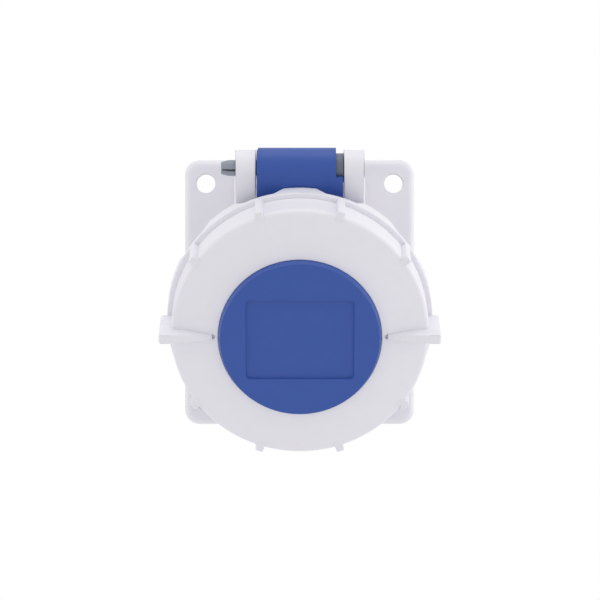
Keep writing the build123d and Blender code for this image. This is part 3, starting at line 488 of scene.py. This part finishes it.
# The second colour of each plastic finish is the lighter colour of its rounded edges: partly rubbed edges,
# partly a painted highlight.
FINISHES: tuple[PlasticFinish | MetalFinish, ...] = (
    PlasticFinish(Slot.WHITE_PLASTIC, (0.850, 0.835, 0.893), (0.880, 0.870, 0.915), 0.46, mottle=0.03,
                  edge_radius=0.40),
    PlasticFinish(Slot.BLUE_PLASTIC, (0.027, 0.086, 0.380), (0.045, 0.110, 0.440), 0.44, mottle=0.05,
                  edge_radius=0.30),
    PlasticFinish(Slot.GREY_PLASTIC, (0.278, 0.310, 0.355), (0.330, 0.365, 0.410), 0.40),
    PlasticFinish(Slot.DARK_GREY_PLASTIC, (0.170, 0.190, 0.235), (0.220, 0.240, 0.290), 0.36),
    PlasticFinish(Slot.BLACK_PLASTIC, (0.026, 0.027, 0.030), (0.060, 0.062, 0.066), 0.50, grain_size=0.2),
    PlasticFinish(Slot.DARK_RUBBER, (0.030, 0.030, 0.032), (0.050, 0.050, 0.052), 0.78, grain_size=0.15,
                  grain_depth=0.02, edge_wear_and_highlight=0.15, specular=0.3),
    MetalFinish(Slot.BRASS, (0.760, 0.560, 0.250), (0.520, 0.350, 0.150), 0.28),
    MetalFinish(Slot.PLATED_STEEL, (0.640, 0.640, 0.630), (0.460, 0.460, 0.440), 0.34),
    MetalFinish(Slot.SPRING_STEEL, (0.430, 0.440, 0.450), (0.300, 0.300, 0.300), 0.30, line_spacing=0.3),
)


class FinishRack:
    """All materials by their slot."""

    def __init__(self, effects: EffectLibrary) -> None:
        """Builds every finish.

        Args:
            effects: The shared node groups.
        """
        self.materials = {finish.slot: finish.build(effects) for finish in FINISHES}

    def dress(self, piece: bpy.types.Object, slot: Slot) -> None:
        """Gives a piece one finish.

        Args:
            piece: A CAD node or a modelled piece.
            slot: The finish's slot.
        """
        material = self.materials[slot]
        if piece.material_slots:
            for held in piece.material_slots:
                held.material = material
        else:
            piece.data.materials.append(material)
        LOG.info("%s takes %s", piece.name, slot.value)


class Bench:
    """The mesh work that several pieces share."""

    MERGE_DISTANCE = 0.002 * MM
    FLAT_ANGLE = math.radians(0.4)
    CORNER_ANGLE = math.radians(35.0)
    SMOOTH_ANGLE = math.radians(32.0)

    @staticmethod
    def pick(piece: bpy.types.Object) -> None:
        """Selects one piece alone and makes it the active one.

        Args:
            piece: The piece to work on.
        """
        bpy.ops.object.select_all(action="DESELECT")
        piece.select_set(True)
        bpy.context.view_layer.objects.active = piece

    @staticmethod
    def remove(piece: bpy.types.Object) -> None:
        """Takes a helper mesh away.

        Args:
            piece: The helper.
        """
        bpy.data.objects.remove(piece, do_unlink=True)

    @classmethod
    def seat(cls, piece: bpy.types.Object, place: Vector, up: Vector) -> None:
        """Moves a piece from the origin to its seat, with its place kept in its mesh.

        Args:
            piece: A piece modelled upright at the origin.
            place: Where its origin goes.
            up: Where its own Z axis points.
        """
        cls.pick(piece)
        piece.matrix_world = Matrix.Translation(place) @ up.to_track_quat("Z", "Y").to_matrix().to_4x4()
        bpy.ops.object.transform_apply(location=True, rotation=True, scale=True)

    @classmethod
    def turn(cls, name: str, profile: tuple[Place, ...], facets: int = 96) -> bpy.types.Object:
        """Turns a closed profile about the Z axis at the origin.

        Args:
            name: The piece's name.
            profile: Radius and height of each corner in millimetres, round the section.
            facets: Sides of the round surfaces.

        Returns:
            The turned piece.
        """
        radius, height = profile[0]
        bpy.ops.object.select_all(action="DESELECT")
        bpy.ops.mesh.primitive_circle_add(
            vertices=facets, radius=radius * MM, fill_type="NOTHING", location=(0.0, 0.0, height * MM))
        piece = bpy.context.object
        piece.name = name
        bpy.ops.object.transform_apply(location=True)
        bpy.ops.object.mode_set(mode="EDIT")
        bpy.ops.mesh.select_all(action="SELECT")
        for next_radius, next_height in profile[1:] + profile[:1]:
            rise = (next_height - height) * MM
            bpy.ops.mesh.extrude_region_move(TRANSFORM_OT_translate={"value": (0.0, 0.0, rise)})
            spread = next_radius / radius
            bpy.ops.transform.resize(value=(spread, spread, 1.0), center_override=(0.0, 0.0, 0.0))
            radius, height = next_radius, next_height
        bpy.ops.mesh.select_all(action="SELECT")
        bpy.ops.mesh.remove_doubles(threshold=cls.MERGE_DISTANCE)
        bpy.ops.mesh.normals_make_consistent(inside=False)
        bpy.ops.object.mode_set(mode="OBJECT")
        return piece

    @classmethod
    def copy(cls, node: bpy.types.Object, name: str) -> bpy.types.Object:
        """Copies a CAD node as one closed mesh with its flat stretches as single faces.

        Args:
            node: The CAD node.
            name: The copy's name.

        Returns:
            The copy, free of the node's parent.
        """
        cls.pick(node)
        bpy.ops.object.duplicate()
        piece = bpy.context.object
        piece.name = name
        bpy.ops.object.parent_clear(type="CLEAR_KEEP_TRANSFORM")
        bpy.ops.object.mode_set(mode="EDIT")
        bpy.ops.mesh.select_all(action="SELECT")
        bpy.ops.mesh.remove_doubles(threshold=cls.MERGE_DISTANCE)
        bpy.ops.mesh.dissolve_limited(angle_limit=cls.FLAT_ANGLE)
        bpy.ops.object.mode_set(mode="OBJECT")
        return piece

    @classmethod
    def round_off(cls, piece: bpy.types.Object, width: float, segments: int = 2) -> None:
        """Rounds the corners of a piece and shades it smooth between them.

        Args:
            piece: The piece.
            width: Width of the rounding in millimetres.
            segments: Faces across the rounding.
        """
        cls.pick(piece)
        rounding = piece.modifiers.new("rounding", "BEVEL")
        rounding.width = width * MM
        rounding.segments = segments
        rounding.limit_method = "ANGLE"
        rounding.angle_limit = cls.CORNER_ANGLE
        bpy.ops.object.modifier_apply(modifier="rounding")
        bpy.ops.object.shade_smooth_by_angle(angle=cls.SMOOTH_ANGLE)


def socket_point(x: float, across: float, along: float) -> Vector:
    """Place of a point given in the socket's own frame.

    Args:
        x: Millimetres to the right.
        across: Millimetres up across the socket axis.
        along: Millimetres forward along the socket axis.

    Returns:
        The point in metres.
    """
    across_axis = Vector((0.0, -math.sin(TILT), math.cos(TILT)))
    return Vector((x * MM, 0.0, AXIS_HEIGHT)) + across_axis * across * MM + AXIS_OUT * along * MM


@dataclass(frozen=True)
class SlottedScrew:
    """A cheese-head screw with a cut thread, modelled upright with the head's underside at the origin.

    Attributes:
        shank: Radius over the thread, in millimetres.
        head: Radius of the head.
        length: Length under the head.
        pitch: Rise of the thread in one turn.
        head_height: Height of the head.
        slot_width: Width of the slot.
        slot_depth: Depth of the slot.
        rounding: Rounding of the head's upper edge.
        thread_depth: Height of the thread over its core.
        facets: Sides of the round surfaces.
        run_out: Length without thread at both ends together, in turns.
        tip_run_out: Length without thread at the tip, in turns.
    """

    TRIANGLE_HEIGHT: ClassVar[float] = 1.5

    shank: float
    head: float
    length: float
    pitch: float
    head_height: float = 1.8
    slot_width: float = 0.8
    slot_depth: float = 0.9
    rounding: float = 0.3
    thread_depth: float = 0.22
    facets: int = 48
    run_out: float = 1.2
    tip_run_out: float = 0.6

    @property
    def core_radius(self) -> float:
        """Radius of the shank under the thread, in millimetres."""
        return self.shank - self.thread_depth

    def model(self, name: str) -> bpy.types.Object:
        """Models the screw.

        Args:
            name: The piece's name.

        Returns:
            The screw as one piece.
        """
        head = self._model_head(name)
        core = self._model_core()
        thread = self._model_thread()
        Bench.pick(head)
        core.select_set(True)
        thread.select_set(True)
        bpy.ops.object.join()
        bpy.ops.object.shade_smooth_by_angle(angle=Bench.SMOOTH_ANGLE)
        return head

    def _model_head(self, name: str) -> bpy.types.Object:
        """Models the head with its rounded edge and its slot.

        Args:
            name: The piece's name.

        Returns:
            The head.
        """
        bpy.ops.object.select_all(action="DESELECT")
        bpy.ops.mesh.primitive_cylinder_add(
            vertices=self.facets, radius=self.head * MM, depth=self.head_height * MM,
            location=(0.0, 0.0, self.head_height / 2 * MM))
        head = bpy.context.object
        head.name = name
        bpy.ops.object.transform_apply(location=True)
        bpy.ops.mesh.primitive_cube_add(
            size=1.0, location=(0.0, 0.0, self.head_height * MM),
            scale=(4.0 * self.head * MM, self.slot_width * MM, 2.0 * self.slot_depth * MM))
        cutter = bpy.context.object
        bpy.ops.object.transform_apply(location=True, scale=True)
        Bench.pick(head)
        cut = head.modifiers.new("slot", "BOOLEAN")
        cut.operation = "DIFFERENCE"
        cut.object = cutter
        bpy.ops.object.modifier_apply(modifier="slot")
        Bench.remove(cutter)
        Bench.round_off(head, self.rounding / 2)
        return head

    def _model_core(self) -> bpy.types.Object:
        """Models the core of the thread with a tapered tip.

        Returns:
            The core.
        """
        bpy.ops.object.select_all(action="DESELECT")
        bpy.ops.mesh.primitive_cylinder_add(
            vertices=self.facets, radius=self.core_radius * MM, depth=self.length * MM,
            location=(0.0, 0.0, -self.length / 2 * MM))
        core = bpy.context.object
        bpy.ops.object.transform_apply(location=True)
        Bench.round_off(core, self.thread_depth)
        return core

    def _model_thread(self) -> bpy.types.Object:
        """Models the thread's ridge as a triangle swept up a helix, with both ends run out into the core.

        Returns:
            The ridge, which stands as deep in the core as it rises over it.
        """
        turns = int((self.length - self.run_out * self.pitch) / self.pitch)
        upright = Matrix(((0, 1, 0), (0, 0, 1), (1, 0, 0))).to_euler()
        ridge_height = self.thread_depth * 2.0
        ridge_radius = ridge_height / self.TRIANGLE_HEIGHT
        centre = self.shank - ridge_radius
        bpy.ops.object.select_all(action="DESELECT")
        bpy.ops.mesh.primitive_circle_add(
            vertices=3, radius=ridge_radius * MM, fill_type="NOTHING", rotation=upright,
            location=(centre * MM, 0.0, -(self.length - self.tip_run_out * self.pitch) * MM))
        thread = bpy.context.object
        bpy.ops.object.transform_apply(location=True, rotation=True)
        sweep = thread.modifiers.new("thread", "SCREW")
        sweep.axis = "Z"
        sweep.screw_offset = self.pitch * MM
        sweep.iterations = turns
        sweep.steps = self.facets // 2
        sweep.render_steps = self.facets // 2
        sweep.use_normal_calculate = True
        bpy.ops.object.modifier_apply(modifier="thread")
        bpy.ops.object.mode_set(mode="EDIT")
        bpy.ops.mesh.select_all(action="DESELECT")
        bpy.ops.mesh.select_non_manifold(extend=False)
        end_depth = 0.2 * self.thread_depth
        shrink = (self.core_radius - end_depth) / self.shank
        bpy.ops.transform.resize(value=(shrink, shrink, 1.0), center_override=(0.0, 0.0, 0.0))
        bpy.ops.mesh.fill_holes(sides=3)
        bpy.ops.mesh.select_all(action="SELECT")
        bpy.ops.mesh.normals_make_consistent(inside=False)
        bpy.ops.object.mode_set(mode="OBJECT")
        return thread


@dataclass
class SubAssembly:
    """Pieces that belong together, with the finish of each.

    Attributes:
        rack: The finishes.
        nodes: Finish of each CAD node, by name.
        rounded: Corner rounding in millimetres of each piece that is seen from close by, by name.
    """

    frame: dict
    rack: FinishRack
    nodes: dict[str, Slot] = field(default_factory=dict)
    rounded: dict[str, float] = field(default_factory=dict)

    def build(self) -> None:
        """Dresses each CAD node, and puts a rounded piece in the place of those that have one."""
        for name, slot in self.nodes.items():
            node = self.frame["nodes"][name]
            self.rack.dress(node, slot)
            if name in self.rounded:
                piece = Bench.copy(node, name + "_rounded")
                Bench.round_off(piece, self.rounded[name])
                self.install(piece, name, slot)

    def install(self, piece: bpy.types.Object, name: str, slot: Slot) -> None:
        """Puts a modelled piece in the place of a CAD node.

        Args:
            piece: The modelled piece.
            name: The CAD node that it stands for.
            slot: Its finish.
        """
        bodies = self.frame["record"]["behaviour"]["bodies"]
        body = next(body for body, names in bodies.items() if name in names)
        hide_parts(name)
        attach(piece, body)
        self.rack.dress(piece, slot)


@dataclass
class PanelHousing(SubAssembly):
    """White housing with its flange and the seal behind it."""

    nodes: dict[str, Slot] = field(default_factory=lambda: {
        "housing": Slot.WHITE_PLASTIC, "panel_gasket": Slot.DARK_RUBBER})
    rounded: dict[str, float] = field(default_factory=lambda: {"panel_gasket": 0.20})


@dataclass
class LockingRing(SubAssembly):
    """White bayonet ring that turns on the lid."""

    nodes: dict[str, Slot] = field(default_factory=lambda: {"bayonet_ring": Slot.WHITE_PLASTIC})


@dataclass
class HingedLid(SubAssembly):
    """Blue lid with the seal inside it.

    Attributes:
        seal_inside: Inner radius of the seal, in millimetres.
        seal_outside: Outer radius of the seal.
        seal_rear: Place along the socket axis of the face that meets the collar.
        seal_front: Place of the face in the lid's groove.
        bead_width: Width of one bead.
        bead_height: Height of one bead.
        seal_rounding: Rounding of the seal's corners.
    """

    nodes: dict[str, Slot] = field(default_factory=lambda: {
        "lid": Slot.BLUE_PLASTIC, "lid_gasket": Slot.DARK_RUBBER})
    seal_inside: float = 21.75
    seal_outside: float = 27.05
    seal_rear: float = 40.7
    seal_front: float = 42.3
    bead_width: float = 1.2
    bead_height: float = 0.45
    seal_rounding: float = 0.15

    def build(self) -> None:
        """Dresses the lid and models its seal."""
        super().build()
        seal = Bench.turn("lid_gasket_beaded", self._seal_profile())
        Bench.round_off(seal, self.seal_rounding)
        Bench.seat(seal, socket_point(0.0, 0.0, 0.0), AXIS_OUT)
        self.install(seal, "lid_gasket", Slot.DARK_RUBBER)

    def _seal_profile(self) -> tuple[Place, ...]:
        """Works out the seal's section with two beads on the face that meets the collar.

        Returns:
            Radius and place along the axis of each corner.
        """
        floor = self.seal_rear + self.bead_height
        middle = (self.seal_inside + self.seal_outside) / 2
        corners = [(self.seal_inside, self.seal_front), (self.seal_outside, self.seal_front),
                   (self.seal_outside, floor)]
        for centre in ((middle + self.seal_outside) / 2, (self.seal_inside + middle) / 2):
            half = self.bead_width / 2
            corners += [(centre + half, floor), (centre + half / 2, self.seal_rear),
                        (centre - half / 2, self.seal_rear), (centre - half, floor)]
        corners.append((self.seal_inside, floor))
        return tuple(corners)


@dataclass
class HingeFittings(SubAssembly):
    """Snap pin of the hinge, its torsion spring and the cap over the spring's end.

    Attributes:
        coil_right: Place in millimetres to the right where the coil is still with the housing's leg; not
            used.
        coil_left: Place where it is wholly with the lid's leg; not used.
    """

    nodes: dict[str, Slot] = field(default_factory=lambda: {
        "hinge_pin": Slot.GREY_PLASTIC, "spring_cover": Slot.DARK_GREY_PLASTIC,
        "lid_spring": Slot.SPRING_STEEL})
    rounded: dict[str, float] = field(default_factory=lambda: {"hinge_pin": 0.12, "spring_cover": 0.08})
    coil_right: float = 10.9
    coil_left: float = 4.39

    def build(self) -> None:
        """Dresses the fittings and puts a smooth-shaded copy of the spring in the place of its CAD node."""
        super().build()
        spring = Bench.copy(self.frame["nodes"]["lid_spring"], "lid_spring_wound")
        bpy.ops.object.shade_smooth_by_angle(angle=Bench.SMOOTH_ANGLE)
        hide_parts("lid_spring")
        self.rack.dress(spring, Slot.SPRING_STEEL)
        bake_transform(spring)


@dataclass
class ContactBlock(SubAssembly):
    """Insulators, brass contacts and their screws.

    Attributes:
        poles: Names of the poles.
        pole_angles: Where each stands round the socket axis, in degrees from the top.
        contact_pitch_radius: Distance of the contacts from the axis, in millimetres.
        terminal_head_seat: Distance of a terminal screw's seat from its contact's axis.
        terminal_screw_along: Place of the terminal screws along the axis.
        carrier_screw_from_axis: Distance of the carrier's screws from the axis.
        carrier_rear: Place along the axis that their heads rest on.
        insulator_rear: Place along the axis that the insulator screw's head rests on.
        carrier_screw: The kind of screw that holds the carrier.
        insulator_screw: The kind of screw that holds the rear insulator.
        terminal_screw: The kind of screw that clamps a wire.
    """

    poles: tuple[str, ...] = ("line", "neutral", "earth")
    nodes: dict[str, Slot] = field(default_factory=lambda: {
        "contact_carrier": Slot.BLACK_PLASTIC, "carrier_face": Slot.BLACK_PLASTIC,
        "rear_insulator": Slot.BLACK_PLASTIC,
        "carrier_screw_left": Slot.PLATED_STEEL, "carrier_screw_right": Slot.PLATED_STEEL,
        "insulator_screw": Slot.PLATED_STEEL})
    rounded: dict[str, float] = field(default_factory=lambda: {
        "contact_carrier": 0.30, "carrier_face": 0.20, "rear_insulator": 0.35})
    pole_angles: tuple[float, ...] = (60.0, 300.0, 180.0)
    contact_pitch_radius: float = 9.5
    terminal_head_seat: float = 4.4
    terminal_screw_along: float = -8.5
    carrier_screw_from_axis: float = 20.6
    carrier_rear: float = 2.0
    insulator_rear: float = -3.0
    carrier_screw: SlottedScrew = SlottedScrew(1.25, 2.3, 8.0, 0.95)
    insulator_screw: SlottedScrew = SlottedScrew(1.25, 2.8, 13.0, 0.95)
    terminal_screw: SlottedScrew = SlottedScrew(2.0, 2.9, 2.9, 0.7, thread_depth=0.3)

    def build(self) -> None:
        """Dresses the insulators and, for each pole, its contact, band, plate and screw."""
        for pole in self.poles:
            self.nodes[pole + "_chamber"] = Slot.BLACK_PLASTIC
            self.nodes[pole + "_contact"] = Slot.BRASS
            self.nodes[pole + "_spring_band"] = Slot.SPRING_STEEL
            self.nodes[pole + "_clamp_plate"] = Slot.PLATED_STEEL
            self.nodes[pole + "_terminal_screw"] = Slot.PLATED_STEEL
            self.rounded[pole + "_chamber"] = 0.20
            self.rounded[pole + "_contact"] = 0.20
            self.rounded[pole + "_spring_band"] = 0.08
            self.rounded[pole + "_clamp_plate"] = 0.12
        super().build()
        self._fit_screws()

    def _fit_screws(self) -> None:
        """Models each screw and drives it into its place."""
        back = -AXIS_OUT
        for side, name in ((-1.0, "carrier_screw_left"), (1.0, "carrier_screw_right")):
            seat = socket_point(side * self.carrier_screw_from_axis, 0.0, self.carrier_rear)
            self._fit_screw(self.carrier_screw, name, seat, back)
        seat = socket_point(0.0, 0.0, self.insulator_rear)
        self._fit_screw(self.insulator_screw, "insulator_screw", seat, back)
        for pole, angle in zip(self.poles, self.pole_angles):
            reach = self.contact_pitch_radius + self.terminal_head_seat
            turn = math.radians(angle)
            seat = socket_point(reach * math.sin(turn), reach * math.cos(turn), self.terminal_screw_along)
            axis = socket_point(0.0, 0.0, self.terminal_screw_along)
            self._fit_screw(self.terminal_screw, pole + "_terminal_screw", seat, (seat - axis).normalized())

    def _fit_screw(self, screw: SlottedScrew, name: str, seat: Vector, up: Vector) -> None:
        """Models one screw and puts it in the place of its CAD node.

        Args:
            screw: The kind of screw.
            name: The CAD node.
            seat: Middle of the head's underside.
            up: Where the head points.
        """
        piece = screw.model(name + "_threaded")
        Bench.seat(piece, seat, up)
        self.install(piece, name, Slot.PLATED_STEEL)


@dataclass(frozen=True)
class SoftLamp:
    """One softbox of the studio.

    Attributes:
        name: The lamp's name.
        place: Where it stands, in metres.
        size: Side of its square, in metres.
        watts: Its power.
    """

    name: str
    place: tuple[float, float, float]
    size: float
    watts: float

    def hang(self, target: Vector) -> None:
        """Adds the lamp and turns it to the object.

        Args:
            target: The point that it lights.
        """
        light = bpy.data.lights.new(self.name, "AREA")
        light.shape = "SQUARE"
        light.size = self.size
        light.energy = self.watts
        lamp = bpy.data.objects.new(self.name, light)
        bpy.context.scene.collection.objects.link(lamp)
        lamp.location = self.place
        lamp.rotation_euler = (target - Vector(self.place)).to_track_quat("-Z", "Y").to_euler()


@dataclass
class Studio:
    """White studio with a pale floor, soft lamps and the camera.

    Attributes:
        camera_place: Where the camera stands, in metres.
        camera_turn: Its turn about the vertical; below zero it looks to the right.
        lens: Focal length in millimetres.
        sensor: Width of the camera's sensor in millimetres.
        ambient: Strength of the white surroundings.
        floor_height: Height of the floor, in metres.
        floor_side: Side of the floor, in metres.
        floor_colour: Linear colour of the floor as light meets it.
        aim: The point that the lamps are turned to, in metres.
        lamps: The softboxes.
    """

    camera_place: tuple[float, float, float] = (-0.0016, -0.905, -0.0023)
    camera_turn: float = math.radians(-0.108)
    lens: float = 187.76
    sensor: float = 36.0
    ambient: float = 0.78
    floor_height: float = -0.30
    floor_side: float = 12.0
    floor_colour: Colour = (0.86, 0.86, 0.86)
    aim: tuple[float, float, float] = (0.0, -0.02, 0.0)
    lamps: tuple[SoftLamp, ...] = (
        SoftLamp("top_lamp", (0.0, -0.25, 1.25), 0.8, 2.7),
        SoftLamp("top_back_lamp", (0.0, 0.60, 1.10), 0.8, 0.5),
        SoftLamp("left_lamp", (-1.20, -0.15, 0.20), 0.8, 1.9),
        SoftLamp("right_lamp", (1.20, -0.15, 0.20), 0.8, 2.8),
        SoftLamp("right_back_lamp", (1.00, 0.60, 0.20), 0.8, 1.4),
    )

    def build(self) -> None:
        """Sets camera, surroundings, floor and lamps."""
        self._set_camera()
        self._set_surroundings()
        self._lay_floor()
        for lamp in self.lamps:
            lamp.hang(Vector(self.aim))

    def _set_camera(self) -> None:
        """Adds the camera, which stands a little to the left of the middle and looks level at the flange."""
        data = bpy.data.cameras.new("camera")
        data.lens = self.lens
        data.sensor_width = self.sensor
        data.clip_start = 0.01
        data.clip_end = 50.0
        camera = bpy.data.objects.new("camera", data)
        bpy.context.scene.collection.objects.link(camera)
        camera.location = self.camera_place
        camera.rotation_euler = (math.radians(90.0), 0.0, self.camera_turn)
        bpy.context.scene.camera = camera
        bpy.context.scene.view_settings.view_transform = "Standard"

    def _set_surroundings(self) -> None:
        """White all round: full white to the eye, a little less as light."""
        world = bpy.data.worlds.new("studio")
        bpy.context.scene.world = world
        world.use_nodes = True
        sheet = NodeSheet(world.node_tree)
        out = sheet.add("ShaderNodeOutputWorld", (600, 0))
        seen = sheet.add("ShaderNodeBackground", (0, -150))
        seen.inputs["Color"].default_value = WHITE
        seen.inputs["Strength"].default_value = 1.0
        shed = sheet.add("ShaderNodeBackground", (0, 50))
        shed.inputs["Color"].default_value = WHITE
        shed.inputs["Strength"].default_value = self.ambient
        path = sheet.add("ShaderNodeLightPath", (0, 400))
        mix = sheet.add("ShaderNodeMixShader", (300, 0))
        sheet.join(path.outputs["Is Camera Ray"], mix.inputs["Fac"])
        sheet.join(shed.outputs["Background"], mix.inputs[1])
        sheet.join(seen.outputs["Background"], mix.inputs[2])
        sheet.join(mix.outputs["Shader"], out.inputs["Surface"])

    def _lay_floor(self) -> None:
        """A pale floor that blends with the surroundings."""
        bpy.ops.object.select_all(action="DESELECT")
        bpy.ops.mesh.primitive_plane_add(size=self.floor_side, location=(0.0, 0.0, self.floor_height))
        floor = bpy.context.object
        floor.name = "studio_floor"
        material = bpy.data.materials.new("pale_floor")
        material.use_nodes = True
        sheet = NodeSheet(material.node_tree)
        out = sheet.add("ShaderNodeOutputMaterial", (600, 0))
        matt = sheet.add("ShaderNodeBsdfDiffuse", (0, 50))
        matt.inputs["Color"].default_value = (*self.floor_colour, 1.0)
        glow = sheet.add("ShaderNodeEmission", (0, -150))
        glow.inputs["Strength"].default_value = 1.0
        path = sheet.add("ShaderNodeLightPath", (0, 400))
        mix = sheet.add("ShaderNodeMixShader", (300, 0))
        sheet.join(path.outputs["Is Camera Ray"], mix.inputs["Fac"])
        sheet.join(matt.outputs["BSDF"], mix.inputs[1])
        sheet.join(glow.outputs["Emission"], mix.inputs[2])
        sheet.join(mix.outputs["Shader"], out.inputs["Surface"])
        floor.data.materials.append(material)


def main() -> None:
    """Loads the model, builds each sub-assembly in order and sets the studio."""
    logging.basicConfig(level=logging.INFO, format="%(name)s: %(message)s")
    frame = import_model()
    bpy.ops.object.select_all(action="DESELECT")
    rack = FinishRack(EffectLibrary())
    for kind in (PanelHousing, LockingRing, HingedLid, HingeFittings, ContactBlock):
        kind(frame, rack).build()
        LOG.info("%s is built", kind.__name__)
    Studio().build()


if __name__ == "__main__":
    main()
